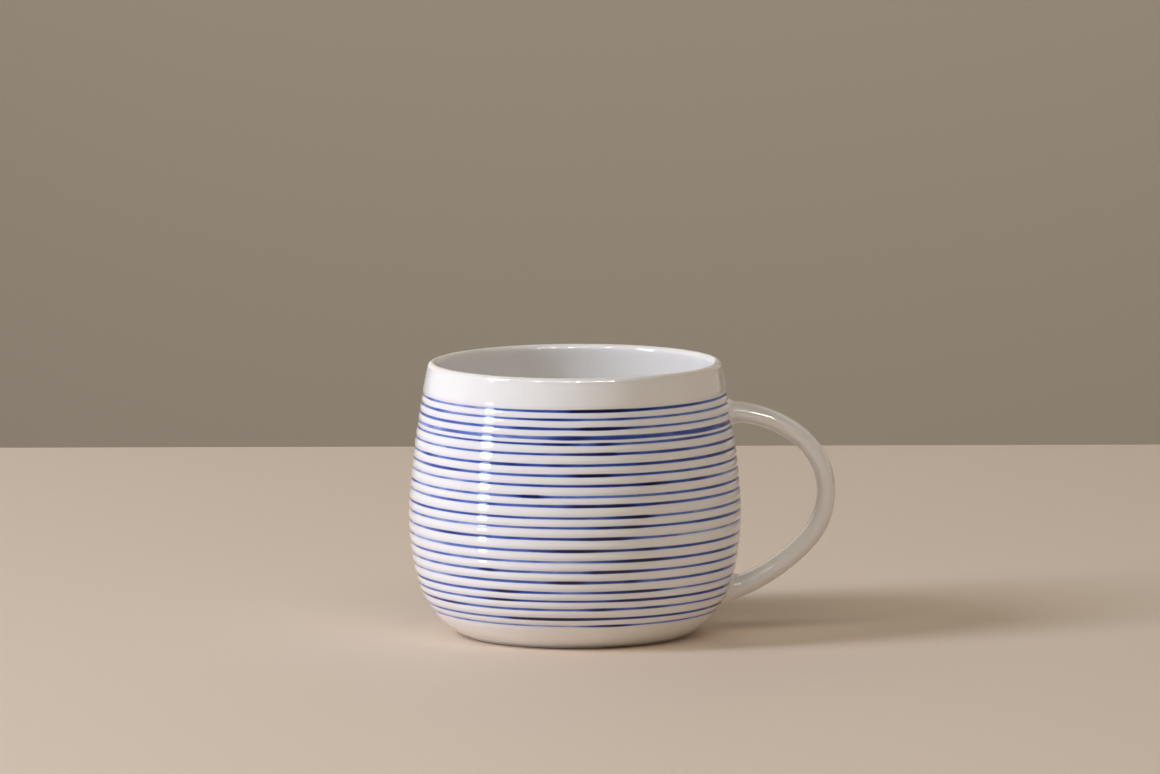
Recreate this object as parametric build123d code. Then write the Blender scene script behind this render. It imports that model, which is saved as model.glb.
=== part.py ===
from build123d import *
import os
from math import asin, cos, degrees, radians, sin, sqrt

# A stoneware mug with a rounded belly, an oval strap handle and cobalt-blue bands laid in turned grooves.
# Millimetres and degrees. The mug stands on z = 0, its axis is +Z and its handle points along +X.

# Body
HEIGHT = 82.0             # from the resting plane to the crest of the lip
BELLY_RADIUS = 50.0
BELLY_HEIGHT = 36.0
WALL = 4.0
LIP = 3.0                 # thickness of the lip; the inside thins the wall to this from the belly upwards

# The wall's outline is three tangent arcs; the angles where they meet are measured up from the horizontal.
LOWER_ARC = 25.0
BELLY_ARC = 74.0
UPPER_ARC = 292.0
LOWER_ANGLE = -16.0
UPPER_ANGLE = 4.5

# Base
FOOT_RADIUS = 34.2
FOOT_WIDTH = 4.0
FOOT_STEP = 0.8           # how far the foot ring stands below the rounded base
FOOT_ROUND = 0.35
RECESS_HEIGHT = 2.2
FLOOR_HEIGHT = 7.0        # top of the floor inside
FLOOR_ROUND = 12.0        # radius where the floor turns up into the wall

# Bands, counted from the top down
TOP_BAND_HEIGHT = 72.5
BAND_GAPS = (2.4, 2.7, 2.7, 1.8, 3.0, 3.2, 3.0, 2.9, 3.3, 2.8, 3.5,
             3.0, 3.3, 3.5, 3.3, 3.2, 3.1, 3.2, 2.7, 2.6, 3.0, 2.2)
BAND_WIDTH = 0.9
BROAD_BAND = 4            # the one band drawn with a fuller brush
BROAD_BAND_WIDTH = 1.4
GROOVE_DEPTH = 0.4
BAND_RECESS = 0.1         # how far a band's face lies below the wall's surface

# Handle: an oval strap whose centre line is three tangent arcs in the XZ plane
STRAP_WIDTH = 11.0
STRAP_THICKNESS = 5.8
HANDLE_TOP = (50.15, 66.4)                                # x and z where the strap leaves its upper joint
HANDLE_DIP = 6.5                                          # how far below the horizontal it leaves
HANDLE_ARCS = ((33.0, 33.5), (21.5, 93.0), (58.0, 25.0))  # radius and turn of each arc

# Joints: the strap's oval flares towards the wall
UPPER_FLARE = 1.3         # size at the wall, as a multiple of the strap's section
LOWER_FLARE = 1.45
JOINT_REACH = 9.0         # from the strap's end to the far side of the joint's blank, inside the wall


def along(start, angle, distance):
    """The point at a distance from start, in the direction of an angle in the outline's plane."""
    return start + Vector(cos(radians(angle)), sin(radians(angle))) * distance


BELLY_CENTRE = Vector(BELLY_RADIUS - BELLY_ARC, BELLY_HEIGHT)
LOWER_CENTRE = along(BELLY_CENTRE, LOWER_ANGLE, BELLY_ARC - LOWER_ARC)
UPPER_CENTRE = along(BELLY_CENTRE, UPPER_ANGLE, BELLY_ARC - UPPER_ARC)


def on_section(radius, height):
    """A point of the half section, which lies in the XZ plane."""
    return (radius, 0, height)


def arc_changes(inset=0.0):
    """The two heights where one arc of the wall, moved inwards by inset, passes into the next."""
    return [along(BELLY_CENTRE, angle, BELLY_ARC - inset).Y for angle in (LOWER_ANGLE, UPPER_ANGLE)]


def wall_arc(height, inset=0.0):
    """Centre and radius of the arc that the wall follows at a height."""
    lower_change, upper_change = arc_changes(inset)
    if height < lower_change:
        return LOWER_CENTRE, LOWER_ARC - inset
    if height > upper_change:
        return UPPER_CENTRE, UPPER_ARC - inset
    return BELLY_CENTRE, BELLY_ARC - inset


def wall_radius(height, inset=0.0):
    """Distance of the wall's surface from the mug's axis."""
    centre, radius = wall_arc(height, inset)
    return centre.X + sqrt(radius**2 - (height - centre.Y)**2)


def wall_run(low, high, inset=0.0):
    """The wall's arcs between two heights, from the lower to the higher."""
    stops = [low] + [change for change in arc_changes(inset) if low < change < high] + [high]
    arcs = []
    for start, end in zip(stops, stops[1:]):
        points = [on_section(wall_radius(z, inset), z) for z in (start, (start + end) / 2, end)]
        arcs.append(ThreePointArc(*points))
    return arcs


def band_centres():
    """Height and width of each band, from the top down."""
    heights = [TOP_BAND_HEIGHT]
    for gap in BAND_GAPS:
        heights.append(heights[-1] - gap)
    widths = [BROAD_BAND_WIDTH if number == BROAD_BAND else BAND_WIDTH for number in range(1, len(heights) + 1)]
    return list(zip(heights, widths))


def band_edges(height, width):
    """The heights of a band's two edges, closer together where the wall leans."""
    centre, radius = wall_arc(height)
    lean = asin((height - centre.Y) / radius)
    half = width / 2 * cos(lean)
    return height - half, height + half


def groove(low, high):
    """The outline of one groove, from its lower edge to its upper edge."""
    mouth_low = on_section(wall_radius(low), low)
    mouth_high = on_section(wall_radius(high), high)
    bed_low = on_section(wall_radius(low) - GROOVE_DEPTH, low)
    bed_high = on_section(wall_radius(high) - GROOVE_DEPTH, high)
    return [Line(mouth_low, bed_low), Line(bed_low, bed_high), Line(bed_high, mouth_high)]


def grooved_wall(low, high):
    """The wall's outline between two heights, with every groove in it."""
    outline = []
    reached = low
    for height, width in reversed(band_centres()):
        groove_low, groove_high = band_edges(height, width)
        outline += wall_run(reached, groove_low) + groove(groove_low, groove_high)
        reached = groove_high
    return outline + wall_run(reached, high)


def lip(shoulder):
    """The round of the lip, from the outside of the wall over the crest to the inside."""
    outside = wall_radius(shoulder)
    crest = on_section(outside - LIP / 2, HEIGHT)
    return ThreePointArc(on_section(outside, shoulder), crest, on_section(outside - LIP, shoulder))


def inside_run(low, shoulder):
    """The inside of the wall from the floor's round to the lip: even at first, then thinning upwards."""
    thinning_start = arc_changes(WALL)[1]
    start = on_section(wall_radius(thinning_start, WALL), thinning_start)
    end = on_section(wall_radius(shoulder) - LIP, shoulder)
    upwards = on_section(-sin(radians(UPPER_ANGLE)), cos(radians(UPPER_ANGLE)))
    return wall_run(low, thinning_start, WALL) + [TangentArc(start, end, tangent=upwards)]


def floor_round():
    """The arc that is tangent to the floor and to the inside of the lower wall, and the height where it ends."""
    centre_height = FLOOR_HEIGHT + FLOOR_ROUND
    inner_arc = LOWER_ARC - WALL
    angle = asin((centre_height - LOWER_CENTRE.Y) / (inner_arc - FLOOR_ROUND))
    centre = along(LOWER_CENTRE, degrees(angle), inner_arc - FLOOR_ROUND)
    start = centre - Vector(0, FLOOR_ROUND)
    middle = along(centre, (degrees(angle) - 90) / 2, FLOOR_ROUND)
    end = along(centre, degrees(angle), FLOOR_ROUND)
    return ThreePointArc(*(on_section(point.X, point.Y) for point in (start, middle, end))), end.Y


def rounded(face, radius, *corners):
    """The half section with its corners nearest the given points rounded."""
    nearest = [face.vertices().sort_by_distance(corner)[0] for corner in corners]
    return face.fillet_2d(radius, nearest)


def turned(edges):
    """A closed half section turned about the mug's axis."""
    return revolve(Face(Wire(edges)), axis=Axis.Z)


def make_body():
    """The turned shell: grooved wall, lip, floor, and a foot ring round a shallow recess."""
    shoulder = HEIGHT - LIP / 2
    base_edge = on_section(wall_radius(FOOT_STEP), FOOT_STEP)
    foot_root = on_section(FOOT_RADIUS, FOOT_STEP)
    foot_outside = on_section(FOOT_RADIUS, 0)
    foot_inside = on_section(FOOT_RADIUS - FOOT_WIDTH, 0)
    recess_edge = on_section(FOOT_RADIUS - FOOT_WIDTH, RECESS_HEIGHT)
    recess_middle = on_section(0, RECESS_HEIGHT)
    floor_middle = on_section(0, FLOOR_HEIGHT)
    floor_corner, wall_start = floor_round()
    base = Polyline(
        floor_corner @ 0, floor_middle, recess_middle, recess_edge, foot_inside, foot_outside, foot_root, base_edge
    )
    outline = base.edges() + grooved_wall(FOOT_STEP, shoulder)
    outline += [lip(shoulder), floor_corner] + inside_run(wall_start, shoulder)
    section = rounded(Face(Wire(outline)), FOOT_ROUND, foot_inside, foot_outside)
    return revolve(section, axis=Axis.Z)


def make_band(height, width):
    """A ring of coloured slip that fills its groove to just below the wall's surface."""
    low, high = band_edges(height, width)
    corners = [
        on_section(wall_radius(z) - depth, z)
        for z, depth in ((low, BAND_RECESS), (high, BAND_RECESS), (high, GROOVE_DEPTH), (low, GROOVE_DEPTH))
    ]
    return turned(Polyline(*corners, close=True).edges())


def make_envelope():
    """The whole outside of the mug as one plain solid, to cut the joints to the wall."""
    bottom = on_section(wall_radius(FOOT_STEP), FOOT_STEP)
    top = on_section(wall_radius(HEIGHT), HEIGHT)
    axis_line = Polyline(top, on_section(0, HEIGHT), on_section(0, FOOT_STEP), bottom)
    return turned(wall_run(FOOT_STEP, HEIGHT) + axis_line.edges())


def handle_path():
    """The strap's centre line: arcs that each start in the direction where the last one ended."""
    place = Vector(*on_section(*HANDLE_TOP))
    heading = Vector(1, 0, 0).rotate(Axis.Y, HANDLE_DIP)
    arcs = []
    for radius, turn in HANDLE_ARCS:
        centre = place + heading.rotate(Axis.Y, 90) * radius
        middle = centre + (place - centre).rotate(Axis.Y, turn / 2)
        end = centre + (place - centre).rotate(Axis.Y, turn)
        arcs.append(ThreePointArc(place, middle, end))
        place, heading = end, heading.rotate(Axis.Y, turn)
    return Wire(arcs)


def strap_section(place, direction, scale=1.0):
    """The strap's oval, square to a direction in the XZ plane."""
    plane = Plane(origin=place, x_dir=(0, 1, 0), z_dir=direction)
    return plane * Ellipse(STRAP_WIDTH / 2 * scale, STRAP_THICKNESS / 2 * scale)


def make_handle(path):
    """The strap between its two joints."""
    return sweep(strap_section(path @ 0, path % 0), path=path)


def make_joint(place, inwards, flare, envelope):
    """The pad of slip from the strap's end to the wall, flaring as it gets there."""
    steps = ((0, 1.0), (0.35, 1 + (flare - 1) * 0.3), (0.7, flare), (1.0, flare * 1.2))
    sections = [strap_section(place + inwards * JOINT_REACH * share, inwards, scale) for share, scale in steps]
    return loft(sections) - envelope


def main():
    os.makedirs("parts", exist_ok=True)
    path = handle_path()
    envelope = make_envelope()
    nodes = {
        "mug_body": make_body(),
        "handle": make_handle(path),
        "upper_handle_joint": make_joint(path @ 0, path % 0 * -1, UPPER_FLARE, envelope),
        "lower_handle_joint": make_joint(path @ 1, path % 1, LOWER_FLARE, envelope),
    }
    for number, (height, width) in enumerate(band_centres(), start=1):
        nodes[f"blue_band_{number:02d}"] = make_band(height, width)
    for name, shape in nodes.items():
        export_step(shape, f"parts/{name}.step")


main()
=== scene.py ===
import math

import bpy
import numpy as np
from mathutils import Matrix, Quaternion, Vector


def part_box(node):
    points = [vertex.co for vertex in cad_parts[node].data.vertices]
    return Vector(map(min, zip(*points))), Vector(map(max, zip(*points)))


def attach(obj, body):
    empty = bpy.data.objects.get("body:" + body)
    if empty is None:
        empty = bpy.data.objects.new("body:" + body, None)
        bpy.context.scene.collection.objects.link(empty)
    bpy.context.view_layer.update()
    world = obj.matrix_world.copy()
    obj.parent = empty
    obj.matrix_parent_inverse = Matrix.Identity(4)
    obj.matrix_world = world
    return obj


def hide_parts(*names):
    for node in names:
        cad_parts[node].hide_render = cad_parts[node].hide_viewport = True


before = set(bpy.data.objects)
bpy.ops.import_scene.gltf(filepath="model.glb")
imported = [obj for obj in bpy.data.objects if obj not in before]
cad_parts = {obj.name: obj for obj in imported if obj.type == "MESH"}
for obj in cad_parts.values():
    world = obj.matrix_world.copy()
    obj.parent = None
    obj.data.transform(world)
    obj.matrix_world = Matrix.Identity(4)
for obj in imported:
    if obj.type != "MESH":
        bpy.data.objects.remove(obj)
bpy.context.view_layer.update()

# Sizes and places below are in millimetres, in the frame's own axes; MM turns them into Blender's metres.
# Azimuths of the mesh grow from +X towards +Y.
MM = 0.001
BODY = "root"

# The wall's outline, as in the design: three tangent arcs
BELLY_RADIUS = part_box("mug_body")[1].x / MM
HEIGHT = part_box("mug_body")[1].z / MM
BELLY_HEIGHT = 36.0
LOWER_ARC = 25.0
BELLY_ARC = 74.0
UPPER_ARC = 292.0
LOWER_ANGLE = math.radians(-16.0)
UPPER_ANGLE = math.radians(4.5)
WALL = 4.0
LIP = 3.0
SHOULDER = HEIGHT - LIP / 2   # where the round of the lip starts

# Base and floor
FOOT_RADIUS = 34.2
FOOT_WIDTH = 4.0
FOOT_STEP = 0.8
FOOT_ROUND = 0.45
FOOT_COVE = ((0.25, 0.1), (0.7, 0.02))    # how far out and how far below the step the foot runs into the base
RECESS_HEIGHT = 2.2
RECESS_ROUND = 0.5        # where the recess meets the foot ring
RECESS_DOME = 0.25        # how much the recess rises from there to its middle
RECESS_PEAK = 0.28        # and the rise of the middle point itself
FLOOR_HEIGHT = 7.0
FLOOR_ROUND = 12.0

# The relief left by turning: a valley at each band and a soft pillow between two bands
VALLEY_DEPTH = 0.30
VALLEY_ABOVE = 0.8        # how far a valley reaches towards the pillow above it
VALLEY_BELOW = 1.1        # and, more gently, towards the one below
BAND_FILM = 0.02          # how far a band's glazed face stands off the bottom of its valley
BAND_BODY = 0.25          # thickness of a band below that face

# How far the potter's hand strays, and the phase in radians that sets where round the mug
OVALNESS, OVAL_PHASE = 0.10, 0.7
THREE_SIDEDNESS, THREE_SIDED_PHASE = 0.04, 2.0
LIP_SWAY, LIP_SWAY_PHASE = 0.10, 0.5
LIP_SWAY_DEPTH = 8.0      # the sway of the lip has died out this far below it
LINE_SWAY = 0.09

# Brushwork: a line's width as a share of its band's, and its load of colour from 0 to 1, which also carries
# painted shade
DRY_WIDTH = 0.64
FULL_WIDTH_GAIN = 0.6     # what a full load adds to the width
WIDTH_WANDER = 0.11
MEAN_LOAD = 0.33
# The load swings once round the mug, heaviest towards the front right: painted shade, which makes the lines
# darker and wider on the side in shade
INK_AND_SHADE_SWING, INK_AND_SHADE_PHASE = 0.14, 0.8
LOAD_WANDER = 0.24
STROKES = 4               # dark touches on each line
FRONT_STROKES = 2         # of them, those that lie near the front
FRONT_AZIMUTH = -1.4
FRONT_SCATTER = 0.28
STROKE_LENGTHS = (0.05, 0.20)
STROKE_LOADS = (0.2, 0.5)

# Seeds, to each of which the number of the line is added
SWAY_SEED = 100
WIDTH_SEED = 200
STROKE_SEED = 300
LOAD_SEED = 400

# The strap handle's centre line, as in the design
HANDLE_TOP = (50.15, 66.4)
HANDLE_DIP = math.radians(6.5)
HANDLE_ARCS = ((33.0, 33.5), (21.5, 93.0), (58.0, 25.0))
ROOT_REACH = 6.5          # how far the strap runs on beyond its centre line's ends, into the wall
ROOT_GAP = 0.5            # between that run and the centre line's first point

# The strap's section, and its taper as shares of a size: in the middle,
# added at both ends, and added at the lower end
STRAP_WIDTH = 11.0
STRAP_THICKNESS = 5.8
STRAP_POWER = 2.35        # 2 would be an ellipse; more is fuller
WIDTH_TAPER = (0.97, 0.14, 0.03)
THICKNESS_TAPER = (0.94, 0.12, 0.08)

# The fillets at the strap's ends: how far each feathers out over the wall, and how far it climbs the strap
UPPER_FILLET = (1.6, 3.6)
LOWER_FILLET = (2.4, 4.5)
FILLET_SINK = 0.03        # the fillet's edge lies this far under the strap's surface
FILLET_DEPTH = 1.2        # and its hidden side this far inside the corner
FILLET_SECTION = 12       # rings from the strap's end to the section that the fillet goes round

# How finely the surfaces are divided
SEGMENTS = 240            # round the mug
STRAP_SEGMENTS = 48
FILLET_SEGMENTS = 96
FILLET_ROWS = 15
BAND_COLUMNS = 7          # across a line's face
RING_STEP = 0.235         # between rings where the bands are
PLAIN_MARGIN = 2.5        # how far beyond the outermost bands those rings go on
BASE_RINGS = 16
RIM_RINGS = 12
INSIDE_RINGS = 46
LIP_POINTS = 15
FLOOR_ROUND_POINTS = 12
FOOT_ROUND_POINTS = 6
FLOOR_SHARES = (0.85, 0.65, 0.45, 0.25, 0.08)
RECESS_SHARES = (0.08, 0.3, 0.55, 0.8)
STRAP_STEP = 0.8          # between rings along the strap
ROOT_RINGS = 9            # on its run into the wall
SHARP_ANGLE = math.radians(40)

# Masks on the white glaze
BLEED_REACH = 0.75        # of a band's blue into the glaze beside it
OUTSIDE_DEPTH = 1.0       # points less deep than this under the plain wall count as outside
THIN_REACH = 0.9          # how far below the crest the glaze runs thin
BARE_HEIGHT = 0.3         # up to here the foot ring was wiped clean of glaze
BARE_MARGINS = (1.0, 0.2)    # inwards and outwards of the foot ring

# Colours of the glazes
GLAZE_THIN = (0.87, 0.835, 0.80, 1)
GLAZE_THICK = (0.90, 0.875, 0.85, 1)
GLAZE_BLUED = (0.36, 0.44, 0.80, 1)
GLAZE_ON_LIP = (0.78, 0.66, 0.52, 1)
BARE_CLAY = (0.62, 0.50, 0.38, 1)
COBALT_EDGE = (0.60, 0.62, 0.78, 1)
COBALT_STOPS = (          # load of colour, and its blue
    (0.0, (0.36, 0.42, 0.70)),
    (0.3, (0.11, 0.18, 0.52)),
    (0.55, (0.03, 0.08, 0.38)),
    (0.8, (0.010, 0.022, 0.17)),
    (1.0, (0.004, 0.005, 0.045)),
)
BLEED_STRENGTH = 0.26
LIP_STRENGTH = 0.3
EDGE_STRENGTH = 0.45
EDGE_RANGE = (0.6, 1.0)   # a line pales from here to its edge, which is 1
STREAK_STRENGTH = 0.25
STREAK_RANGE = (0.25, 0.75)    # of the noise that becomes streaks
NOISE_RANGE = (0.3, 0.7)  # of the noise that becomes clouds and gloss
GLAZE_ROUGHNESS = (0.035, 0.065)
GLAZE_IOR = 1.5
WAVE_STRENGTH = 0.05
WAVE_HEIGHT = 0.6

# The camera stands far off and looks a little down
CAMERA_PLACE = (0.0, -2971.0, 449.5)
CAMERA_TARGET = (1.53, 0.0, 74.1)
CAMERA_ROLL = math.radians(-0.15)
CAMERA_LENS = 310.0
CAMERA_CLIP = (100, 100000)

# The stage: a table top that ends behind the mug, and a wall beyond it
STAGE_SIDE = 5000
TABLE_NEAR, TABLE_EDGE, TABLE_TOP = -4000, 425, -0.05
STAGE_WALL, WALL_LOW, WALL_HIGH = 3300, -2500, 4500
STAGE_ROUGHNESS = 0.7
TABLE_COLOUR = (0.74, 0.60, 0.47, 1)
WALL_COLOUR = (0.62, 0.51, 0.38, 1)

# Lights. A panel has its azimuths in degrees, from behind the camera towards +X, its elevations, its distance
# from the mug's middle, its glow, its colour and its lean.
MUG_MIDDLE = (0, 0, 40)
DAYLIGHT = (0.78, 0.84, 1.0)
LAMPLIGHT = (1.0, 0.95, 0.84)
PANELS = {
    "window_low": ((-69.6, -63.2), (-4, 10), 2000, 18.5, DAYLIGHT, 2),
    "window_middle": ((-73, -64.5), (15, 27), 2000, 19.5, DAYLIGHT, 10),
    "window_high": ((-78, -63), (27, 46), 2000, 19.5, DAYLIGHT, 20),
    "back_left": ((-178, -90), (0, 50), 2400, 0.6, (1.0, 0.98, 0.80), 0),
    "room_right": ((60, 175), (0, 45), 2400, 0.5, (1.0, 0.87, 0.76), 0),
    "ceiling": ((-30, 20), (42, 62), 2600, 3.0, LAMPLIGHT, 0),
}
LAMPS = ((-35, 30.0), (-10, 20.0), (3, 45.0), (22, 55.0), (33, 60.0))    # azimuth of the middle, and glow
LAMP_HALF_WIDTH = 2
LAMP_ELEVATIONS = (37.5, 49)
LAMP_DISTANCE = 2600
WASH_SIZE = 1200
WASH_POWER = 10.5
WASH_COLOUR = (0.95, 1.0, 1.0)
WASH_PLACE = (0, 1400, 900)
WASH_TARGET = (0, STAGE_WALL, -250)
WORLD_COLOUR = (0.50, 0.45, 0.40, 1)
WORLD_STRENGTH = 0.05


# ---------------------------------------------------------------- outline and relief

def along(start, angle, distance):
    """The point at a distance from start, in the direction of an angle in the outline's plane."""
    return start + distance * np.array((math.cos(angle), math.sin(angle)))


BELLY_CENTRE = np.array((BELLY_RADIUS - BELLY_ARC, BELLY_HEIGHT))
LOWER_CENTRE = along(BELLY_CENTRE, LOWER_ANGLE, BELLY_ARC - LOWER_ARC)
UPPER_CENTRE = along(BELLY_CENTRE, UPPER_ANGLE, BELLY_ARC - UPPER_ARC)


def wall_radius(height, inset=0.0):
    """Radius of the plain wall at each height, moved inwards by inset."""
    height = np.asarray(height, float)
    lower_change = along(BELLY_CENTRE, LOWER_ANGLE, BELLY_ARC - inset)[1]
    upper_change = along(BELLY_CENTRE, UPPER_ANGLE, BELLY_ARC - inset)[1]
    arcs = []
    for centre, radius in ((LOWER_CENTRE, LOWER_ARC), (UPPER_CENTRE, UPPER_ARC), (BELLY_CENTRE, BELLY_ARC)):
        arcs.append(centre[0] + np.sqrt(np.maximum((radius - inset)**2 - (height - centre[1])**2, 0.0)))
    return np.select([height < lower_change, height > upper_change], arcs[:2], arcs[2])


def bands():
    """Name, height and width of each band in the design, from the top down."""
    names = sorted(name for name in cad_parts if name.startswith("blue_band_"))
    rows = []
    for name in names:
        low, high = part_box(name)
        rows.append((name, (low.z + high.z) / 2 / MM, (high.z - low.z) / MM))
    return rows


BANDS = bands()


def wander(azimuth, seed, size, waves=5):
    """A smooth closed curve round the mug, like a hand's unsteadiness: at most about size either way."""
    draw = np.random.default_rng(seed)
    total = np.zeros_like(azimuth)
    for wave in range(1, waves + 1):
        total = total + draw.normal() * np.cos(wave * azimuth + draw.uniform(0, 2 * np.pi)) / wave
    usual_peak = 1.6
    return size * total / usual_peak


def band_height(number, azimuth):
    """The middle of a band round the mug: level, but drawn by hand."""
    return BANDS[number][1] + wander(azimuth, SWAY_SEED + number, LINE_SWAY)


def wall_surface(height, azimuth):
    """Radius of the finished wall: its outline, the valleys at the bands and a slight lack of roundness."""
    plateau = np.ones(np.broadcast(height, azimuth).shape)
    for number in range(len(BANDS)):
        distance = height - band_height(number, azimuth)
        reach = np.where(distance > 0, VALLEY_ABOVE, VALLEY_BELOW)
        plateau = plateau * (1 - np.exp(-(distance / reach)**2))
    return wall_radius(height) + VALLEY_DEPTH * (plateau - 1) + out_of_round(height, azimuth)


def out_of_round(height, azimuth):
    """How far a thrown wall strays from a true circle: oval towards the lip, and a little three-sided."""
    oval = OVALNESS * (height / HEIGHT) * np.cos(2 * azimuth + OVAL_PHASE)
    return oval + THREE_SIDEDNESS * np.cos(3 * azimuth + THREE_SIDED_PHASE)


# ---------------------------------------------------------------- mesh helpers

def make_object(name, points, faces):
    """A mesh object from points in millimetres, shaded smooth."""
    mesh = bpy.data.meshes.new(name)
    mesh.from_pydata((np.asarray(points) * MM).tolist(), [], faces)
    mesh.validate()
    mesh.update()
    mesh.polygons.foreach_set("use_smooth", [True] * len(mesh.polygons))
    piece = bpy.data.objects.new(name, mesh)
    bpy.context.scene.collection.objects.link(piece)
    return piece


def grid_faces(rows, columns, close_rows=False, flip=False):
    """Quads over a grid of rows x columns points that closes along its columns, and its rows if asked."""
    faces = []
    for row in range(rows if close_rows else rows - 1):
        below, above = row * columns, (row + 1) % rows * columns
        for column in range(columns):
            following = (column + 1) % columns
            quad = (below + column, below + following, above + following, above + column)
            faces.append(quad[::-1] if flip else quad)
    return faces


def add_attribute(piece, name, values):
    """A number at each point of the piece, or one number at them all, for its material to read."""
    attribute = piece.data.attributes.new(name, "FLOAT", "POINT")
    each = np.broadcast_to(np.ravel(values), len(piece.data.vertices))
    attribute.data.foreach_set("value", each.astype(np.float32))


def add_glaze_masks(piece, bleed=0.0, thin=0.0, bare=0.0):
    """Where the white glaze takes up blue, where it runs thin, and where there is none."""
    add_attribute(piece, "bleed", bleed)
    add_attribute(piece, "thin", thin)
    add_attribute(piece, "bare", bare)


def keep_corners_sharp(piece):
    """Keeps smooth shading off the corners."""
    piece.data.set_sharp_from_angle(angle=SHARP_ANGLE)


def circle(segments):
    """Angles round a full circle."""
    return np.linspace(0, 2 * np.pi, segments, endpoint=False)


def cylindrical(radius, azimuth, height):
    """Points from cylindrical coordinates, as an array with x, y and z last."""
    radius, azimuth, height = np.broadcast_arrays(radius, azimuth, height)
    return np.stack([radius * np.cos(azimuth), radius * np.sin(azimuth), height], axis=-1)


def finish_piece(piece, material, slot, *nodes):
    """Gives the piece its material and its body, and lets it stand for its CAD nodes. Its slot is not used.
    """
    piece.data.materials.append(material)
    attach(piece, BODY)
    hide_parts(*nodes)


# ---------------------------------------------------------------- the body

def arc_points(centre, radius, start, end, count):
    """Points on an arc of the outline, from one angle to another."""
    return [along(np.array(centre), angle, radius) for angle in np.linspace(start, end, count)]


def inside_outline():
    """The inside of the body from the lip's inner edge down the wall and across the floor to the middle."""
    inner_arc = LOWER_ARC - WALL
    lean = math.asin((FLOOR_HEIGHT + FLOOR_ROUND - LOWER_CENTRE[1]) / (inner_arc - FLOOR_ROUND))
    round_centre = along(LOWER_CENTRE, lean, inner_arc - FLOOR_ROUND)
    wall_start = along(round_centre, lean, FLOOR_ROUND)[1]
    thinning_start = along(BELLY_CENTRE, UPPER_ANGLE, BELLY_ARC - WALL)[1]
    heights = np.linspace(SHOULDER, wall_start, INSIDE_RINGS)
    share = np.clip((heights - thinning_start) / (SHOULDER - thinning_start), 0, 1)
    thinning = wall_radius(SHOULDER) - LIP - wall_radius(SHOULDER, WALL)
    radii = wall_radius(heights, WALL) + thinning * share**2
    points = list(zip(radii, heights))
    points += arc_points(round_centre, FLOOR_ROUND, lean, -math.pi / 2, FLOOR_ROUND_POINTS)[1:]
    floor_edge = round_centre[0]
    return points + [(floor_edge * share, FLOOR_HEIGHT) for share in FLOOR_SHARES]


def lip_outline():
    """The round of the lip, from the outside over the crest to the inside."""
    return arc_points((wall_radius(SHOULDER) - LIP / 2, SHOULDER), LIP / 2, 0, math.pi, LIP_POINTS)[:-1]


def foot_outline():
    """The underside from the middle of the recess, round the foot ring, to the edge of the rounded base."""
    inner, outer = FOOT_RADIUS - FOOT_WIDTH, FOOT_RADIUS
    cove_centre = (inner - RECESS_ROUND, RECESS_HEIGHT - RECESS_ROUND)
    inner_centre = (inner + FOOT_ROUND, FOOT_ROUND)
    outer_centre = (outer - FOOT_ROUND, FOOT_ROUND)
    points = [(inner * share, RECESS_HEIGHT + RECESS_DOME * (1 - share)) for share in RECESS_SHARES]
    points += arc_points(cove_centre, RECESS_ROUND, math.pi / 2, 0, FOOT_ROUND_POINTS)
    points += arc_points(inner_centre, FOOT_ROUND, math.pi, 1.5 * math.pi, FOOT_ROUND_POINTS)
    points += [((inner + outer) / 2, 0.0)]
    points += arc_points(outer_centre, FOOT_ROUND, -math.pi / 2, 0, FOOT_ROUND_POINTS)
    return points + [(outer + out, FOOT_STEP - below) for out, below in FOOT_COVE]


def outside_heights():
    """Heights of the wall's rings: close together over the bands, wider where it is plain."""
    top, bottom = BANDS[0][1] + PLAIN_MARGIN, BANDS[-1][1] - PLAIN_MARGIN
    return np.concatenate([
        np.linspace(FOOT_STEP, bottom, BASE_RINGS, endpoint=False),
        np.arange(bottom, top, RING_STEP),
        np.linspace(top, SHOULDER, RIM_RINGS),
    ])


def make_body():
    """The whole shell: foot, grooved wall, lip, inside and floor."""
    azimuth = circle(SEGMENTS)[None, :]
    foot = np.array(foot_outline())
    heights = outside_heights()
    over = np.array(lip_outline() + inside_outline())
    outside = cylindrical(wall_surface(heights[:, None], azimuth), azimuth, heights[:, None])
    under = cylindrical(foot[:, :1], azimuth, foot[:, 1:])
    over_round = over[:, :1] + out_of_round(over[:, 1:], azimuth)
    inner = cylindrical(over_round, azimuth, over[:, 1:] + lip_sway(over[:, 1:], azimuth))
    rows = np.concatenate([under, outside[:-1], inner])
    middles = [(0, 0, RECESS_HEIGHT + RECESS_PEAK), (0, 0, FLOOR_HEIGHT)]
    points = np.concatenate([rows.reshape(-1, 3), middles])
    body = make_object("mug_shell", points, grid_faces(len(rows), SEGMENTS) + middle_faces(len(rows)))
    thin = np.exp(-((points[:, 2] - HEIGHT) / THIN_REACH)**2)
    add_glaze_masks(body, ink_bleed(points), thin, wiped(points))
    return body


def middle_faces(rows):
    """The triangles that close the first ring to the recess's middle, and the last ring to the floor's."""
    last = (rows - 1) * SEGMENTS
    under_middle = rows * SEGMENTS
    floor_middle = under_middle + 1
    faces = []
    for column in range(SEGMENTS):
        following = (column + 1) % SEGMENTS
        faces.append((following, column, under_middle))
        faces.append((last + column, last + following, floor_middle))
    return faces


def lip_sway(height, azimuth):
    """The crest of a hand-finished lip rises and falls a little."""
    nearness = np.clip((height - HEIGHT + LIP_SWAY_DEPTH) / LIP_SWAY_DEPTH, 0, 1)
    return LIP_SWAY * nearness**2 * np.cos(azimuth + LIP_SWAY_PHASE)


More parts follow.
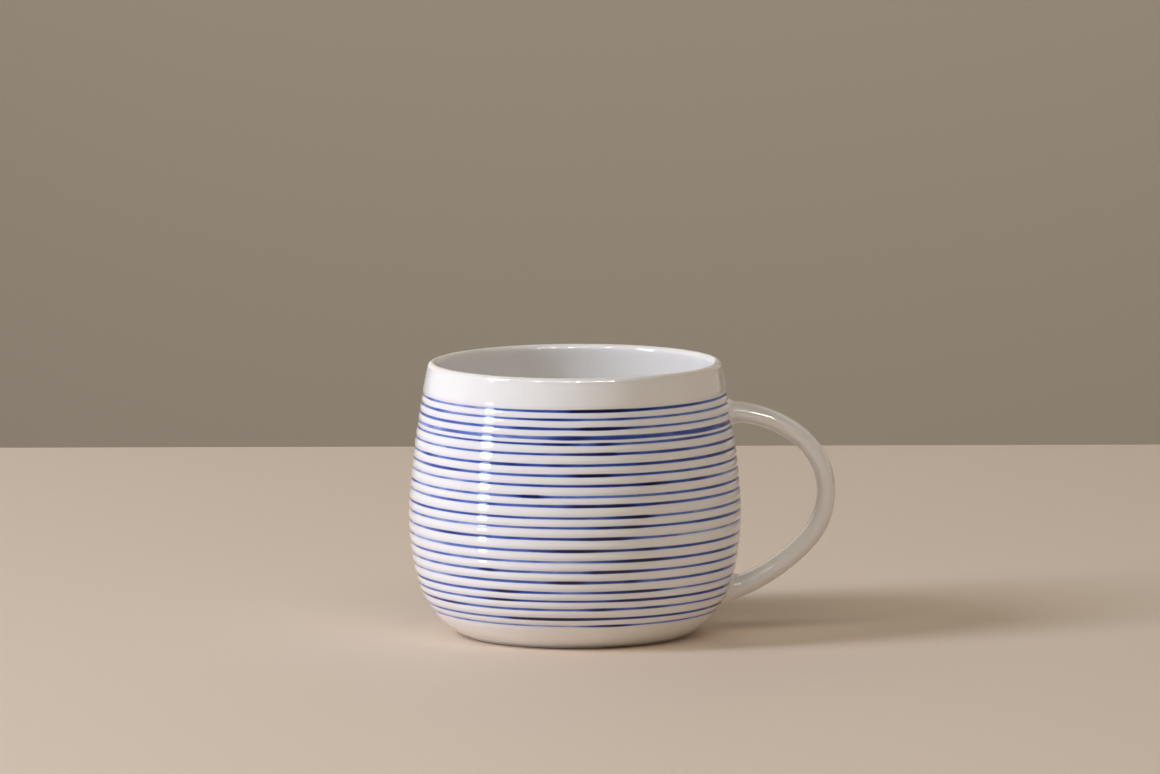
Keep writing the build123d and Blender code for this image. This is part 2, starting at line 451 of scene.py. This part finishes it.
def ink_bleed(points):
    """How much of the bands' blue has run into the glaze beside them, at each point."""
    height = points[:, 2]
    azimuth = np.arctan2(points[:, 1], points[:, 0])
    depth_limit = wall_radius(np.clip(height, FOOT_STEP, HEIGHT), OUTSIDE_DEPTH)
    outside = np.hypot(points[:, 0], points[:, 1]) > depth_limit
    bleed = np.zeros(len(points))
    for number in range(len(BANDS)):
        distance = height - band_height(number, azimuth)
        bleed = np.maximum(bleed, np.exp(-(distance / BLEED_REACH)**2))
    return bleed * outside


def wiped(points):
    """Which points lie on the foot ring's resting face, where the glaze was wiped off."""
    radius = np.hypot(points[:, 0], points[:, 1])
    inwards, outwards = BARE_MARGINS
    on_ring = (radius > FOOT_RADIUS - FOOT_WIDTH - inwards) & (radius < FOOT_RADIUS + outwards)
    return on_ring & (points[:, 2] < BARE_HEIGHT)


# ---------------------------------------------------------------- the bands

def make_band(number):
    """One brushed line: a thin ring that follows its valley, with a hand's uneven width."""
    name, _, width = BANDS[number]
    azimuth = circle(SEGMENTS)[:, None]
    across = np.linspace(-1, 1, BAND_COLUMNS)[None, :]
    load_and_shade = brush_load_and_shade(number, azimuth)
    uneven = wander(azimuth, WIDTH_SEED + number, WIDTH_WANDER, waves=14)
    half = width / 2 * (DRY_WIDTH + FULL_WIDTH_GAIN * load_and_shade + uneven)
    height = band_height(number, azimuth) + across * half
    face = cylindrical(wall_surface(height, azimuth) + BAND_FILM, azimuth, height)
    back_height = height[:, [-1, 0]]
    back = cylindrical(wall_surface(back_height, azimuth) - BAND_BODY, azimuth, back_height)
    rows = np.concatenate([face, back], axis=1)
    columns = rows.shape[1]
    faces = grid_faces(SEGMENTS, columns, close_rows=True, flip=True)
    piece = make_object(name.replace("band", "line"), rows.reshape(-1, 3), faces)
    keep_corners_sharp(piece)
    # The load stored here carries painted shade as well as the ink
    add_attribute(piece, "ink_and_shade", np.repeat(load_and_shade, columns, axis=1))
    add_attribute(piece, "edge", np.tile(np.append(np.abs(across), (1, 1)), SEGMENTS))
    return piece


def brush_load_and_shade(number, azimuth):
    """How much colour the brush left, and painted shade: it wanders, has dark touches, and swings once round
    the mug, darkest on the front right, where the shade falls.
    """
    draw = np.random.default_rng(STROKE_SEED + number)
    # Painted shade: this swing darkens the lines towards the front right
    load_and_shade = MEAN_LOAD + INK_AND_SHADE_SWING * np.cos(azimuth + INK_AND_SHADE_PHASE)
    load_and_shade = load_and_shade + wander(azimuth, LOAD_SEED + number, LOAD_WANDER, waves=9)
    for stroke in range(STROKES):
        in_front = stroke < FRONT_STROKES
        middle = draw.normal(FRONT_AZIMUTH, FRONT_SCATTER) if in_front else draw.uniform(0, 2 * np.pi)
        length = draw.uniform(*STROKE_LENGTHS)
        away = np.abs((azimuth - middle + np.pi) % (2 * np.pi) - np.pi)
        load_and_shade = load_and_shade + draw.uniform(*STROKE_LOADS) * np.exp(-(away / length)**2)
    return np.clip(load_and_shade, 0, 1)


# ---------------------------------------------------------------- the handle

def handle_line():
    """Points and headings along the strap's centre line, run on into the wall at both ends."""
    place, heading = np.array(HANDLE_TOP), -HANDLE_DIP
    points, headings = [], []
    for reach in np.linspace(ROOT_REACH, ROOT_GAP, ROOT_RINGS):
        points.append(along(place, heading, -reach))
        headings.append(heading)
    for radius, turn in HANDLE_ARCS:
        centre = along(place, heading - math.pi / 2, radius)
        count = int(radius * math.radians(turn) / STRAP_STEP)
        for step in range(count):
            now = heading - math.radians(turn) * step / count
            points.append(along(centre, now + math.pi / 2, radius))
            headings.append(now)
        heading -= math.radians(turn)
        place = along(centre, heading + math.pi / 2, radius)
    for reach in np.linspace(0, ROOT_REACH, ROOT_RINGS + 1):
        points.append(along(place, heading, reach))
        headings.append(heading)
    return np.array(points), np.array(headings)


def oval(angle, width, thickness):
    """A point of the strap's section: a little fuller than an ellipse."""
    power = 2 / STRAP_POWER
    across = np.sign(np.cos(angle)) * np.abs(np.cos(angle))**power * width / 2
    outwards = np.sign(np.sin(angle)) * np.abs(np.sin(angle))**power * thickness / 2
    return across, outwards


def tapered(size, taper, share):
    """A size of the strap at a share of its length: the strap is pulled thinnest in the middle."""
    middle, both_ends, lower_end = taper
    return size * (middle + both_ends * np.abs(2 * share - 1)**3 + lower_end * share)


def strap_points(points, headings, angle):
    """The strap's surface: one ring of points for each place on its centre line."""
    share = np.linspace(0, 1, len(points))[:, None]
    width = tapered(STRAP_WIDTH, WIDTH_TAPER, share)
    thickness = tapered(STRAP_THICKNESS, THICKNESS_TAPER, share)
    across, outwards = oval(angle[None, :], width, thickness)
    normal = headings[:, None] + math.pi / 2
    x = points[:, :1] + np.cos(normal) * outwards
    z = points[:, 1:] + np.sin(normal) * outwards
    return np.stack([x, across, z], axis=-1)


def make_handle():
    """The strap, closed at both ends inside the wall."""
    rings = strap_points(*handle_line(), circle(STRAP_SEGMENTS))
    faces = grid_faces(len(rings), STRAP_SEGMENTS, flip=True)
    last = (len(rings) - 1) * STRAP_SEGMENTS
    faces.append(tuple(range(STRAP_SEGMENTS)))
    faces.append(tuple(last + column for column in reversed(range(STRAP_SEGMENTS))))
    strap = make_object("strap_handle", rings.reshape(-1, 3), faces)
    add_glaze_masks(strap)
    return strap


def wall_hit(start, direction):
    """Where lines from start in one direction meet the plain wall, found by halving."""
    reach, halvings = 14.0, 40
    near, far = np.zeros(len(start)), np.full(len(start), reach)
    for _ in range(halvings):
        middle = (near + far) / 2
        place = start + middle[:, None] * direction
        outside = np.hypot(place[:, 0], place[:, 1]) > wall_radius(place[:, 2])
        near, far = np.where(outside, middle, near), np.where(outside, far, middle)
    return start + near[:, None] * direction


def on_wall(points):
    """The points moved in or out to lie on the finished wall."""
    azimuth = np.arctan2(points[:, 1], points[:, 0])
    return cylindrical(wall_surface(points[:, 2], azimuth), azimuth, points[:, 2])


def make_joint(name, feather, climb, upper):
    """The smoothed slip round one end of the strap: a fillet that feathers out on the wall and the strap."""
    points, headings = handle_line()
    end = 0 if upper else -1
    section = FILLET_SECTION if upper else -1 - FILLET_SECTION
    ring = strap_points(points, headings, circle(FILLET_SEGMENTS))[section]
    into_wall = headings[end] + (math.pi if upper else 0)
    direction = np.array((math.cos(into_wall), 0, math.sin(into_wall)))
    corner = wall_hit(ring, direction)
    outwards = ring - ring.mean(axis=0)
    outwards -= np.outer(outwards @ direction, direction)
    outwards /= np.linalg.norm(outwards, axis=1)[:, None]
    on_strap = corner - climb * direction - FILLET_SINK * outwards
    foot = on_wall(corner + feather * outwards)
    share = np.linspace(0, 1, FILLET_ROWS)[:, None, None]
    fillet = (1 - share)**2 * on_strap + 2 * share * (1 - share) * corner + share**2 * foot
    buried = corner + FILLET_DEPTH * direction - FILLET_DEPTH * outwards
    rows = np.concatenate([fillet, buried[None]])
    faces = grid_faces(len(rows), FILLET_SEGMENTS, close_rows=True, flip=upper)
    joint = make_object(name, rows.reshape(-1, 3), faces)
    keep_corners_sharp(joint)
    add_glaze_masks(joint)
    return joint


# ---------------------------------------------------------------- materials

def new_material(name):
    """A material with its node tree and its shader."""
    material = bpy.data.materials.new(name)
    material.use_nodes = True
    return material, material.node_tree, material.node_tree.nodes["Principled BSDF"]


def put(tree, socket, value):
    """Links an output to the socket, or sets the socket to a plain value."""
    if isinstance(value, bpy.types.NodeSocket):
        tree.links.new(value, socket)
    else:
        socket.default_value = value


def node(tree, kind, **inputs):
    """A node of that kind, with the named inputs set or linked."""
    made = tree.nodes.new(kind)
    for name, value in inputs.items():
        put(tree, made.inputs[name.replace("_", " ")], value)
    return made


def noise(tree, scale, detail, stretch=(1, 1, 1)):
    """Cloudy noise from 0 to 1 over the object's own coordinates, in features per metre."""
    place = tree.nodes.new("ShaderNodeTexCoord").outputs["Object"]
    mapping = node(tree, "ShaderNodeMapping", Vector=place, Scale=stretch)
    return node(tree, "ShaderNodeTexNoise", Vector=mapping.outputs[0], Scale=scale, Detail=detail).outputs[0]


def attribute(tree, name):
    """The number that the piece's points carry under that name."""
    made = tree.nodes.new("ShaderNodeAttribute")
    made.attribute_name = name
    return made.outputs["Fac"]


def spread(tree, value, low, high, to_low, to_high):
    """The value from one range spread over another."""
    limits = {"From Min": low, "From Max": high, "To Min": to_low, "To Max": to_high}
    return node(tree, "ShaderNodeMapRange", Value=value, **limits).outputs[0]


def mix(tree, share, first, second):
    """A colour between two, by a share."""
    made = tree.nodes.new("ShaderNodeMix")
    made.data_type = "RGBA"
    # The node has sockets for every type; these indices are the ones for colours.
    for index, value in ((0, share), (6, first), (7, second)):
        put(tree, made.inputs[index], value)
    return made.outputs[2]


def calculate(tree, operation, first, second):
    """The sum, product or the like of two numbers, either of which may be an output."""
    made = tree.nodes.new("ShaderNodeMath")
    made.operation = operation
    put(tree, made.inputs[0], first)
    put(tree, made.inputs[1], second)
    return made.outputs[0]


def glaze_surface(tree, shader):
    """The skin that every glazed piece shares: a gloss that varies a little over faint waves."""
    gloss = noise(tree, scale=90, detail=3)
    put(tree, shader.inputs["Roughness"], spread(tree, gloss, *NOISE_RANGE, *GLAZE_ROUGHNESS))
    waves = noise(tree, scale=160, detail=2)
    bump = node(tree, "ShaderNodeBump", Strength=WAVE_STRENGTH, Distance=WAVE_HEIGHT * MM, Height=waves)
    put(tree, shader.inputs["Normal"], bump.outputs[0])
    shader.inputs["IOR"].default_value = GLAZE_IOR


def white_glaze():
    """Off-white glaze: cloudy in thickness, warm where it thins over the lip, blue where the bands bleed."""
    material, tree, shader = new_material("white_glaze")
    bleed = calculate(tree, "MULTIPLY", attribute(tree, "bleed"), BLEED_STRENGTH)
    thin = calculate(tree, "MULTIPLY", attribute(tree, "thin"), LIP_STRENGTH)
    clouds = spread(tree, noise(tree, scale=35, detail=4), *NOISE_RANGE, 0, 1)
    colour = mix(tree, clouds, GLAZE_THIN, GLAZE_THICK)
    colour = mix(tree, bleed, colour, GLAZE_BLUED)
    colour = mix(tree, thin, colour, GLAZE_ON_LIP)
    colour = mix(tree, attribute(tree, "bare"), colour, BARE_CLAY)
    put(tree, shader.inputs["Base Color"], colour)
    glaze_surface(tree, shader)
    return material


def cobalt_slip():
    """Brushed cobalt under the glaze: near black where it lies thick, pale where the brush ran dry; its load
    also carries painted shade, darker on the front right.
    """
    material, tree, shader = new_material("cobalt_slip")
    grain = noise(tree, scale=130, detail=3, stretch=(1, 1, 6))
    streaks = spread(tree, grain, *STREAK_RANGE, -STREAK_STRENGTH, STREAK_STRENGTH)
    # The load read here carries painted shade as well as the brush's colour
    load_and_shade = calculate(tree, "ADD", attribute(tree, "ink_and_shade"), streaks)
    blue = colour_ramp(tree, load_and_shade, COBALT_STOPS)
    edge = spread(tree, attribute(tree, "edge"), *EDGE_RANGE, 0.0, EDGE_STRENGTH)
    put(tree, shader.inputs["Base Color"], mix(tree, edge, blue, COBALT_EDGE))
    glaze_surface(tree, shader)
    return material


def colour_ramp(tree, value, stops):
    """The colour that the value falls on, along stops of place and colour."""
    made = node(tree, "ShaderNodeValToRGB", Fac=value)
    elements = made.color_ramp.elements
    while len(elements) < len(stops):
        elements.new(0.5)
    for element, (place, colour) in zip(elements, stops):
        element.position = place
        element.color = (*colour, 1)
    return made.outputs[0]


# ---------------------------------------------------------------- the studio

def add_to_scene(name, data):
    """A new camera or light in the scene."""
    thing = bpy.data.objects.new(name, data)
    bpy.context.scene.collection.objects.link(thing)
    return thing


def aim(thing, target, roll=0.0):
    """Turns an object so that it looks at a point."""
    direction = Vector(target) * MM - thing.location
    thing.rotation_mode = "QUATERNION"
    thing.rotation_quaternion = direction.to_track_quat("-Z", "Y") @ Quaternion((0, 0, 1), roll)


def add_panel(name, azimuths, elevations, distance, glow, colour, lean=0.0):
    """A soft rectangular light that fills a window of directions round the mug.

    Its power grows with its area, so panels of one glow look equally bright whatever their size.
    """
    azimuth = math.radians(sum(azimuths) / 2)
    elevation = math.radians(sum(elevations) / 2)
    reach = distance * MM
    data = bpy.data.lights.new(name, "AREA")
    data.shape = "RECTANGLE"
    data.size = 2 * reach * math.tan(math.radians(azimuths[1] - azimuths[0]) / 2)
    data.size_y = 2 * reach * math.tan(math.radians(elevations[1] - elevations[0]) / 2)
    data.energy = glow * math.pi * data.size * data.size_y
    data.color = colour
    panel = add_to_scene(name, data)
    level = Vector((math.sin(azimuth), -math.cos(azimuth), 0)) * math.cos(elevation)
    panel.location = (level + Vector((0, 0, math.sin(elevation)))) * reach + Vector(MUG_MIDDLE) * MM
    panel.visible_camera = False
    aim(panel, MUG_MIDDLE, math.radians(lean))
    return panel


def add_lamps():
    """Small ceiling lamps, which show in the gloss alone."""
    for number, (azimuth, glow) in enumerate(LAMPS):
        azimuths = (azimuth - LAMP_HALF_WIDTH, azimuth + LAMP_HALF_WIDTH)
        lamp = add_panel(f"ceiling_lamp_{number}", azimuths, LAMP_ELEVATIONS, LAMP_DISTANCE, glow, LAMPLIGHT)
        lamp.visible_diffuse = False


def add_wall_wash():
    """A light between the table and the wall that brightens the wall alone."""
    data = bpy.data.lights.new("wall_wash", "AREA")
    data.size = WASH_SIZE * MM
    data.energy = WASH_POWER
    data.color = WASH_COLOUR
    wash = add_to_scene("wall_wash", data)
    wash.location = Vector(WASH_PLACE) * MM
    wash.visible_camera = False
    aim(wash, WASH_TARGET)


def add_world():
    """Dim warm light from everywhere."""
    world = bpy.data.worlds.new("studio")
    world.use_nodes = True
    background = world.node_tree.nodes["Background"]
    background.inputs["Color"].default_value = WORLD_COLOUR
    background.inputs["Strength"].default_value = WORLD_STRENGTH
    bpy.context.scene.world = world


def add_lights():
    """The window on the left in three panels, the dimmer rest of the room, and the light on the wall."""
    add_world()
    for name, settings in PANELS.items():
        add_panel(name, *settings)
    add_lamps()
    add_wall_wash()


def make_sheet(name, corners, colour):
    """One flat sheet of the stage, matt and plain."""
    sheet = make_object(name, corners, [(0, 1, 2, 3)])
    material, _, shader = new_material(name)
    shader.inputs["Base Color"].default_value = colour
    shader.inputs["Roughness"].default_value = STAGE_ROUGHNESS
    sheet.data.materials.append(material)


def add_stage():
    """A pale table top with its far edge behind the mug, and a plain wall beyond it."""
    left, right = -STAGE_SIDE, STAGE_SIDE
    outline = ((left, TABLE_NEAR), (right, TABLE_NEAR), (right, TABLE_EDGE), (left, TABLE_EDGE))
    make_sheet("stage_table", [(x, y, TABLE_TOP) for x, y in outline], TABLE_COLOUR)
    outline = ((left, WALL_LOW), (right, WALL_LOW), (right, WALL_HIGH), (left, WALL_HIGH))
    make_sheet("stage_wall", [(x, STAGE_WALL, z) for x, z in outline], WALL_COLOUR)


def add_camera():
    """The camera in front of the mug, far enough off to see it nearly without perspective."""
    data = bpy.data.cameras.new("camera")
    data.lens = CAMERA_LENS
    data.clip_start, data.clip_end = (distance * MM for distance in CAMERA_CLIP)
    camera = add_to_scene("camera", data)
    camera.location = Vector(CAMERA_PLACE) * MM
    aim(camera, CAMERA_TARGET, CAMERA_ROLL)
    bpy.context.scene.camera = camera


# ---------------------------------------------------------------- put together

def build():
    """Every piece of the mug, each in the place of its CAD node."""
    glaze, cobalt = white_glaze(), cobalt_slip()
    finish_piece(make_body(), glaze, "white_glaze", "mug_body")
    finish_piece(make_handle(), glaze, "white_glaze", "handle")
    upper_joint = make_joint("upper_root_fillet", *UPPER_FILLET, upper=True)
    lower_joint = make_joint("lower_root_fillet", *LOWER_FILLET, upper=False)
    finish_piece(upper_joint, glaze, "white_glaze", "upper_handle_joint")
    finish_piece(lower_joint, glaze, "white_glaze", "lower_handle_joint")
    for number in range(len(BANDS)):
        finish_piece(make_band(number), cobalt, "blue_slip", BANDS[number][0])


build()
add_lights()
add_stage()
add_camera()
bpy.context.scene.view_settings.view_transform = "Standard"
